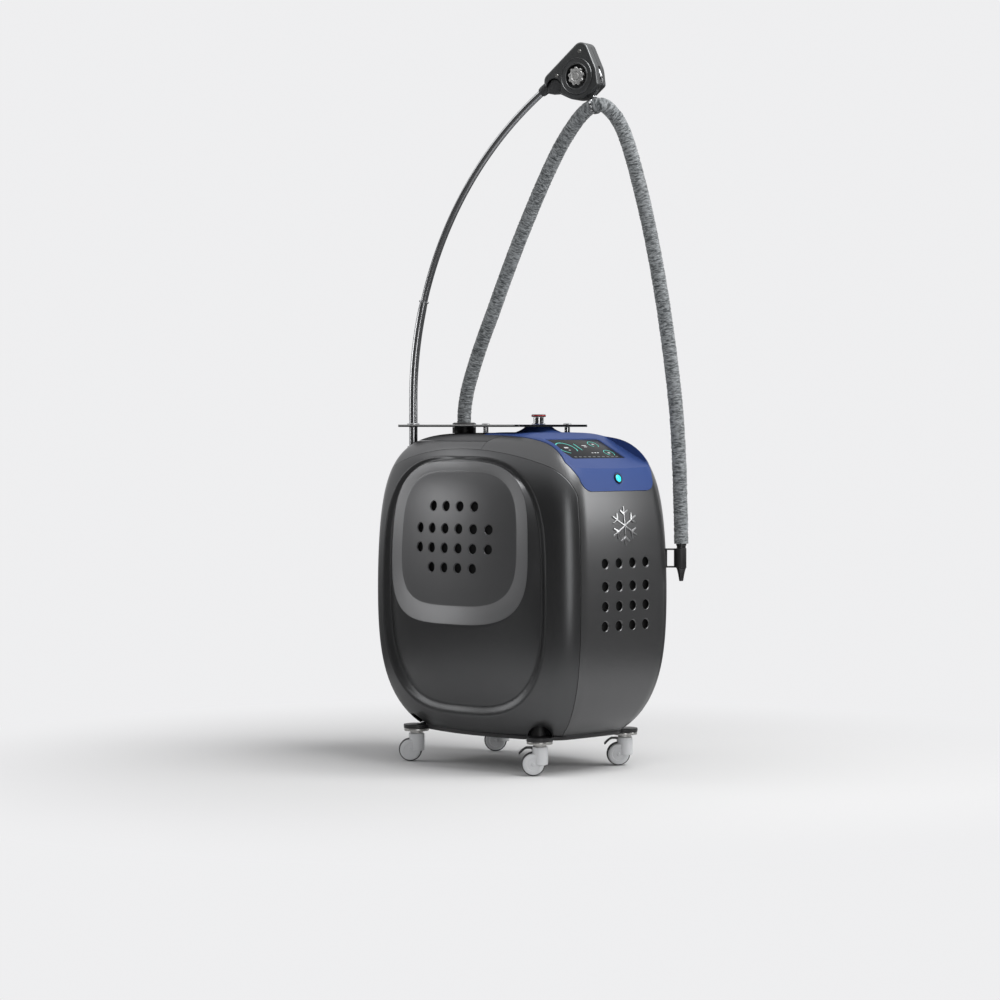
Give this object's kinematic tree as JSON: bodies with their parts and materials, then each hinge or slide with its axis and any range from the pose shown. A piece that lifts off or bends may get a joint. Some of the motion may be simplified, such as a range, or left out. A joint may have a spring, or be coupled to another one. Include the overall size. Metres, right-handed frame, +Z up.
{
  "type": "hot and cold air therapy machine",
  "caption": "Rolling therapy machine that blows warm or cold air through a flexible hose hung from a swivelling arm, with a touch screen and a stop button.",
  "frame": {"origin": "centre of the machine's footprint at floor level", "axes": "+Z up; -Y towards the user, on the side of the screen and the front vents; the flanks face -X and +X"},
  "size_m": [0.4154, 0.614, 1.4757],
  "materials": {
    "silver_grey_plastic": "satin metallic",
    "dark_grey_plastic": "satin",
    "blue_plastic": "satin",
    "black_plastic": "matte",
    "black_glass": "gloss",
    "chrome": "polished",
    "zinc_plated_steel": "satin",
    "aluminium_fins": "satin",
    "white_plastic": "satin",
    "tyre_rubber": "matte",
    "red_plastic": "satin",
    "lit_lens": "gloss",
    "circuit_board": "satin",
    "hose_sleeve": "woven"
  },
  "bodies": {
    "cabinet": {"base_plate": "black_plastic", "side_cover_left": "silver_grey_plastic", "side_cover_right": "silver_grey_plastic", "front_panel": "silver_grey_plastic", "rear_panel": "silver_grey_plastic", "rear_top_cover": "dark_grey_plastic", "control_cover": "blue_plastic", "touch_screen": "black_glass", "power_button_ring": "black_plastic", "estop_bezel": "chrome", "snowflake_emblem": "chrome", "shelf": "black_glass", "shelf_post_front": "chrome", "shelf_post_rear": "chrome", "hose_collar": "black_plastic", "hose_lock_ring": "black_plastic", "pole_socket": "black_plastic", "shelf_grommet": "chrome", "hose": "hose_sleeve", "nozzle_connector": "black_plastic", "nozzle_tip": "black_plastic", "nozzle_holder": "black_plastic", "compressor": "black_plastic", "condenser": "aluminium_fins", "fan_shroud": "black_plastic", "evaporator": "aluminium_fins", "blower_housing": "black_plastic", "outlet_duct": "black_plastic", "heater": "aluminium_fins", "control_board": "circuit_board", "power_supply": "zinc_plated_steel", "power_inlet": "black_plastic", "caster_plate_front_left": "zinc_plated_steel", "caster_plate_front_right": "zinc_plated_steel", "caster_plate_rear_left": "zinc_plated_steel", "caster_plate_rear_right": "zinc_plated_steel"},
    "arm": {"pole_lower": "chrome", "pole_ring": "chrome", "pole_upper": "chrome", "arm_knuckle": "dark_grey_plastic", "balancer_cover_near": "dark_grey_plastic", "balancer_cover_far": "dark_grey_plastic", "hose_clamp": "chrome"},
    "dial": {"tension_dial": "zinc_plated_steel"},
    "stop_button": {"estop_cap": "red_plastic", "estop_barrel": "chrome"},
    "start_button": {"power_button": "lit_lens"},
    "fan_rotor": {"fan": "white_plastic"},
    "blower_rotor": {"impeller": "white_plastic"},
    "caster_fork_front_left": {"caster_housing_front_left": "white_plastic"},
    "caster_roller_front_left": {"caster_wheel_front_left": "tyre_rubber"},
    "caster_brake_front_left": {"brake_lever_front_left": "dark_grey_plastic"},
    "caster_fork_front_right": {"caster_housing_front_right": "white_plastic"},
    "caster_roller_front_right": {"caster_wheel_front_right": "tyre_rubber"},
    "caster_brake_front_right": {"brake_lever_front_right": "dark_grey_plastic"},
    "caster_fork_rear_left": {"caster_housing_rear_left": "white_plastic"},
    "caster_roller_rear_left": {"caster_wheel_rear_left": "tyre_rubber"},
    "caster_fork_rear_right": {"caster_housing_rear_right": "white_plastic"},
    "caster_roller_rear_right": {"caster_wheel_rear_right": "tyre_rubber"}
  },
  "joints": [
    {"name": "arm_swivel", "type": "hinge", "parent": "cabinet", "child": "arm", "pos_m": [-0.08, 0.238, 0.6], "axis": [0, 0, 1], "range_deg": [-35, 35], "deforming": ["hose"]},
    {"name": "dial_turn", "type": "hinge", "parent": "arm", "child": "dial", "pos_m": [-0.00637, -0.17956, 1.408], "axis": [-0.9848, -0.1736, 0], "range_deg": [-150, 150]},
    {"name": "stop_press", "type": "slide", "parent": "cabinet", "child": "stop_button", "axis": [0, 0, -1], "range_m": [0, 0.004], "stiffness_N_per_m": 600, "springref_m": -0.003},
    {"name": "start_press", "type": "slide", "parent": "cabinet", "child": "start_button", "axis": [0, 0.9422, -0.335], "range_m": [0, 0.0015], "stiffness_N_per_m": 500, "springref_m": -0.002},
    {"name": "fan_spin", "type": "hinge", "parent": "cabinet", "child": "fan_rotor", "pos_m": [0, -0.16, 0.258], "axis": [0, 1, 0], "continuous": true},
    {"name": "blower_spin", "type": "hinge", "parent": "cabinet", "child": "blower_rotor", "pos_m": [0, 0.04, 0.395], "axis": [1, 0, 0], "continuous": true},
    {"name": "swivel_front_left", "type": "hinge", "parent": "cabinet", "child": "caster_fork_front_left", "pos_m": [-0.126, -0.18, 0.0245], "axis": [0, 0, 1], "continuous": true},
    {"name": "roll_front_left", "type": "hinge", "parent": "caster_fork_front_left", "child": "caster_roller_front_left", "pos_m": [-0.13519, -0.17081, 0.0245], "axis": [-0.7071, -0.7071, 0], "continuous": true},
    {"name": "brake_front_left", "type": "hinge", "parent": "caster_fork_front_left", "child": "caster_brake_front_left", "pos_m": [-0.13785, -0.16815, 0.05767], "axis": [-0.7071, -0.7071, 0], "range_deg": [0, 12]},
    {"name": "swivel_front_right", "type": "hinge", "parent": "cabinet", "child": "caster_fork_front_right", "pos_m": [0.126, -0.18, 0.0245], "axis": [0, 0, 1], "continuous": true},
    {"name": "roll_front_right", "type": "hinge", "parent": "caster_fork_front_right", "child": "caster_roller_front_right", "pos_m": [0.11681, -0.17081, 0.0245], "axis": [-0.7071, -0.7071, 0], "continuous": true},
    {"name": "brake_front_right", "type": "hinge", "parent": "caster_fork_front_right", "child": "caster_brake_front_right", "pos_m": [0.11415, -0.16815, 0.05767], "axis": [-0.7071, -0.7071, 0], "range_deg": [0, 12]},
    {"name": "swivel_rear_left", "type": "hinge", "parent": "cabinet", "child": "caster_fork_rear_left", "pos_m": [-0.126, 0.18, 0.0245], "axis": [0, 0, 1], "continuous": true},
    {"name": "roll_rear_left", "type": "hinge", "parent": "caster_fork_rear_left", "child": "caster_roller_rear_left", "pos_m": [-0.13519, 0.18919, 0.0245], "axis": [-0.7071, -0.7071, 0], "continuous": true},
    {"name": "swivel_rear_right", "type": "hinge", "parent": "cabinet", "child": "caster_fork_rear_right", "pos_m": [0.126, 0.18, 0.0245], "axis": [0, 0, 1], "continuous": true},
    {"name": "roll_rear_right", "type": "hinge", "parent": "caster_fork_rear_right", "child": "caster_roller_rear_right", "pos_m": [0.11681, 0.18919, 0.0245], "axis": [-0.7071, -0.7071, 0], "continuous": true}
  ]
}
